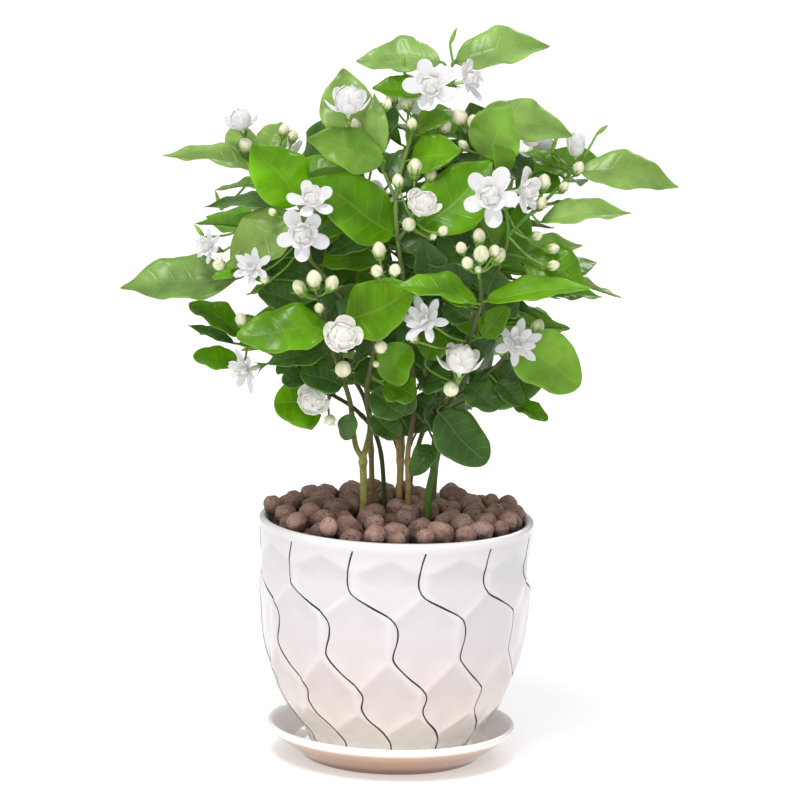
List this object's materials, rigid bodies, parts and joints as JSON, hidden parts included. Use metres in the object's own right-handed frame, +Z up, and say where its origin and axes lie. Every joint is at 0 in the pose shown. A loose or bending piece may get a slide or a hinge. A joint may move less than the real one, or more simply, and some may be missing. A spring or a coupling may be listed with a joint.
{
  "type": "potted jasmine",
  "caption": "Bushy jasmine plant with double white blooms and buds, in a white honeycomb pot on its saucer, with clay pebbles over the soil.",
  "frame": {"origin": "centre of the saucer's flat underside, on the pot's axis", "axes": "+Z up along the pot's axis, -Y towards the picture's viewer, +X to the viewer's right"},
  "size_m": [0.3554, 0.2744, 0.4814],
  "materials": {
    "white_glaze": "white glazed ceramic, satin gloss",
    "fired_clay": "matt porous fired clay, brown",
    "potting_soil": "dark crumbly potting soil, held by roots",
    "jasmine_green": "glossy fresh leaves on green to tan stems",
    "petal_white": "soft white petals"
  },
  "bodies": {
    "root": {"saucer": "white_glaze", "pot": "white_glaze", "potting_soil": "potting_soil", "clay_pebbles": "fired_clay", "stem_left": "jasmine_green", "stem_dark": "jasmine_green", "stem_tan": "jasmine_green", "stem_centre": "jasmine_green", "stem_right": "jasmine_green", "stem_right_back": "jasmine_green", "stem_back_left": "jasmine_green", "stem_back": "jasmine_green", "stem_back_right": "jasmine_green", "bloom_01": "petal_white", "bloom_02": "petal_white", "bloom_03": "petal_white", "bloom_04": "petal_white", "bloom_05": "petal_white", "bloom_06": "petal_white", "bloom_07": "petal_white", "bloom_08": "petal_white", "bloom_09": "petal_white", "bloom_10": "petal_white", "bloom_11": "petal_white", "bloom_12": "petal_white", "bloom_13": "petal_white", "bloom_14": "petal_white", "bloom_15": "petal_white", "bloom_16": "petal_white", "bloom_17": "petal_white", "bloom_18": "petal_white", "bloom_19": "petal_white", "bloom_20": "petal_white", "bloom_21": "petal_white", "bloom_22": "petal_white"}
  },
  "joints": []
}
